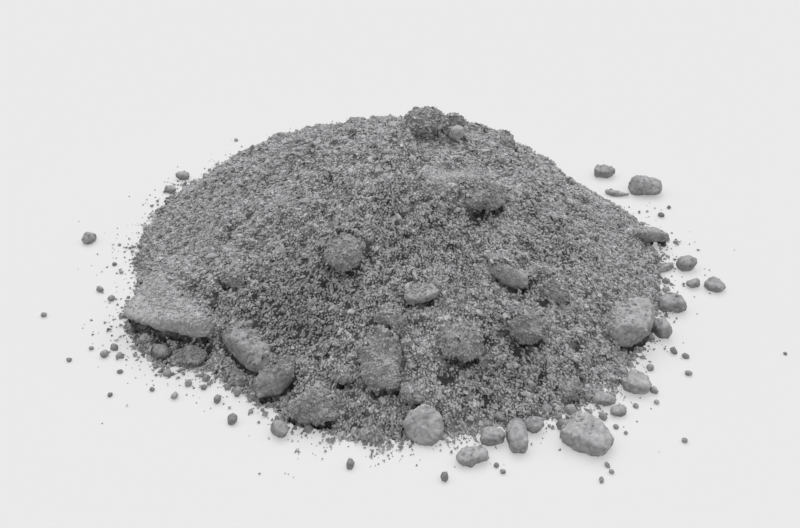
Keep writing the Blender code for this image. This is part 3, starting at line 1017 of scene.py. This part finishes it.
def grain_tree(name, kinds, points_from, seed):
    """Geometry nodes that put a grain of any kind, shade and turn on each point."""
    tree = bpy.data.node_groups.new(name, "GeometryNodeTree")
    tree.interface.new_socket("Geometry", in_out="INPUT", socket_type="NodeSocketGeometry")
    tree.interface.new_socket("Geometry", in_out="OUTPUT", socket_type="NodeSocketGeometry")
    start = add_node(tree, "NodeGroupInput")
    shapes = add_node(tree, "GeometryNodeCollectionInfo", {
        "Collection": kinds, "Separate Children": True, "Reset Children": True})
    grown = add_node(tree, "GeometryNodeInstanceOnPoints", {
        "Points": points_from(tree, start.outputs[0]),
        "Instance": shapes.outputs[0],
        "Pick Instance": True,
        "Instance Index": any_kind(tree, seed + 1),
        "Rotation": downhill_turn(tree, seed + 3),
        "Scale": stored(tree, "size"),
    })
    toned = store(tree, grown.outputs[0], "tone", any_tone(tree, seed + 2), "INSTANCE")
    solid = add_node(tree, "GeometryNodeRealizeInstances", {"Geometry": toned})
    finish = add_node(tree, "NodeGroupOutput")
    tree.links.new(solid.outputs[0], finish.inputs[0])
    return tree


def grain_layer(name, host, kinds, material, points_from, seed):
    """A copy of the host that geometry nodes turn into grains, made one mesh.

    points_from adds the nodes that say where the grains lie and how large each is.
    """
    piece = link(name, host.data.copy())
    apply_modifier(piece, "NODES", node_group=grain_tree(name, kinds, points_from, seed))
    lift_to_floor(piece)
    piece.data.materials.clear()
    if material:
        piece.data.materials.append(material)
    return piece


def sow(name, host, kinds, material, spacing, sizes, seed, sector=None, share="share"):
    """Grains strewn over a host's surface, no two closer than the spacing.

    share names the attribute that says how many of them lie at a place.
    """

    def scatter(tree, geometry):
        spread = add_node(tree, "GeometryNodeDistributePointsOnFaces", {
            "Mesh": geometry,
            "Distance Min": spacing,
            "Density Max": POINTS_TRIED / spacing ** 2,
            "Density Factor": stored(tree, share),
            "Seed": seed,
        }, distribute_method="POISSON")
        if sector is not None:
            same = add_node(tree, "FunctionNodeCompare", data_type="INT", operation="EQUAL")
            tree.links.new(stored(tree, "sector", "INT"), same.inputs[2])
            same.inputs[3].default_value = sector
            tree.links.new(same.outputs["Result"], spread.inputs["Selection"])
        return store(tree, spread.outputs["Points"], "size", any_size(tree, sizes, seed + 4), "POINT")

    return grain_layer(name, host, kinds, material, scatter, seed)


def mark_sectors(bed):
    """Says for each face in which sector of the heap it lies."""
    sector = bed.data.attributes.new("sector", "INT", "FACE")
    for face in bed.data.polygons:
        bearing = math.degrees(math.atan2(face.center.y, face.center.x)) % 360
        sector.data[face.index].value = int(bearing * SECTORS // 360)


def strew(name, kinds, material, spots):
    """Grains on the floor as one mesh; each spot is a place and a size in millimetres."""
    mesh = bpy.data.meshes.new(name + "_spots")
    heights = [RESTING_HEIGHT * size * MM for _, _, size in spots]
    mesh.from_pydata([(x * MM, y * MM, z) for (x, y, _), z in zip(spots, heights)], [], [])
    host = link(name + "_spots", mesh)
    mark(host, "size", lambda vertex: spots[vertex.index][2])
    mark(host, "tone", lambda vertex: SPILL_TONE)
    piece = grain_layer(
        name, host, kinds, material, lambda tree, geometry: geometry, SPILL_TURN_SEED)
    bpy.data.objects.remove(host)
    return piece


def foot_outline(bed):
    """The bed's reach at the floor, for each bearing in whole steps of OUTLINE_STEP degrees."""
    reach = {}
    for vertex in bed.data.vertices:
        if vertex.co.z < EDGE_HEIGHT:
            bearing = round(math.degrees(math.atan2(vertex.co.y, vertex.co.x)) / OUTLINE_STEP)
            reach[bearing] = max(reach.get(bearing, 0), vertex.co.xy.length)
    return reach


def spilled(outline, count, spread, sizes):
    """Random spots on the floor just outside the foot, thinning out with distance."""
    chance = random.Random(SPILL_SEED)
    spots = []
    while len(spots) < count:
        bearing = chance.choice(SPILL_BEARINGS) + chance.uniform(-SPILL_WIDTH, SPILL_WIDTH)
        edge = outline.get(round(((bearing + 180) % 360 - 180) / OUTLINE_STEP))
        if edge is None:
            continue
        reach = edge / MM + chance.expovariate(1 / spread) - SPILL_INSIDE
        turn = math.radians(bearing)
        size = sizes[0] + (sizes[1] - sizes[0]) * chance.random() ** SMALL_GRAINS
        spots.append((reach * math.cos(turn), reach * math.sin(turn), size))
    return spots


# The making

def add_lumps():
    """All the lumps, each in the grey of a stone or of caked fines."""
    lumps = []
    for node in LUMPS:
        lump = make_lump(node)
        lump.data.materials.append(cake_grey if is_clod(node) else stone_grey)
        hand_over(lump, "lumps", node)
        lumps.append(lump)
    return lumps


def add_loose_fines(bed):
    """The sand, larger grains and powder that lie on the bed."""
    mark_sectors(bed)
    layers = []
    for number in range(SECTORS):
        layers.append(sow(f"loose_sand_{number}", bed, sand, grain_grey, **SAND, sector=number))
    layers.append(sow("loose_grains", bed, grains, grain_grey, **LARGE_GRAINS))
    layers.append(sow("powder_patches", bed, chips, grain_grey, **POWDER, share="powder"))
    for layer in layers:
        hand_over(layer, "fines", angular=True)


def add_coats(lumps):
    """The loose grains that lie on the lumps."""
    host = coat_host(lumps)
    hand_over(sow("lump_coats", host, sand, coat_grey, **COAT), "lumps", angular=True)
    bpy.data.objects.remove(host)


def add_spill(bed):
    """The dust, grit and crumbs round the foot, and the crumbs farther out."""
    outline = foot_outline(bed)
    for name, kinds, spots in [
        ("foot_dust", chips, spilled(outline, **FOOT_DUST)),
        ("foot_grit", chips, spilled(outline, **FOOT_GRIT)),
        ("foot_crumbs", crumbs, spilled(outline, **FOOT_CRUMBS)),
        ("lone_crumbs", crumbs, CRUMBS),
    ]:
        hand_over(strew(name, kinds, grain_grey, spots), "fines", angular=True)


add_camera()
add_floor()
add_light()

TEXTURES = {
    "knobs": clouds("knobs", 6 * MM),
    "grit": cells("grit", 2.6 * MM),
    "grain": clouds("grain", 0.9 * MM, 1),
    "wear": clouds("wear", 2.5 * MM),
}
# The bed shows only between and under the loose grains, and is painted dark as the shade there
bed_shade_grey = mineral("packed_fines", 0.035, 0.36, grain=0.4, tone=0.8, shift=-0.2)
cake_grey = mineral("caked_fines", 0.11, 0.36, grain=0.7, tone=0.5, bump=0.8)
grain_grey = mineral("loose_grains", 0.16, 0.49, grain=0.3, tone=0.6)
coat_grey = mineral("grainy_coat", 0.11, 0.38, grain=0.3, tone=0.6)
stone_grey = mineral("dusted_stone", 0.13, 0.37, grain=0.6, dust=0.1, tone=0.5, bump=0.8)

lumps = add_lumps()
chips = chip_kinds("chips")
sand = sand_kinds("sand")
grains = stone_kinds("grains", GRAIN_SHAPES, 1, 0.22)
crumbs = stone_kinds("crumbs", CRUMB_SHAPES, 2, 0.12)
bed = make_bed(crumbs, lumps)
add_loose_fines(bed)
add_coats(lumps)
add_spill(bed)
close_base(bed)
bed.data.materials.clear()
bed.data.materials.append(bed_shade_grey)
hand_over(bed, "fines", MOUND)
for kinds in [chips, sand, grains, crumbs]:
    for kind in list(kinds.objects):
        bpy.data.objects.remove(kind)
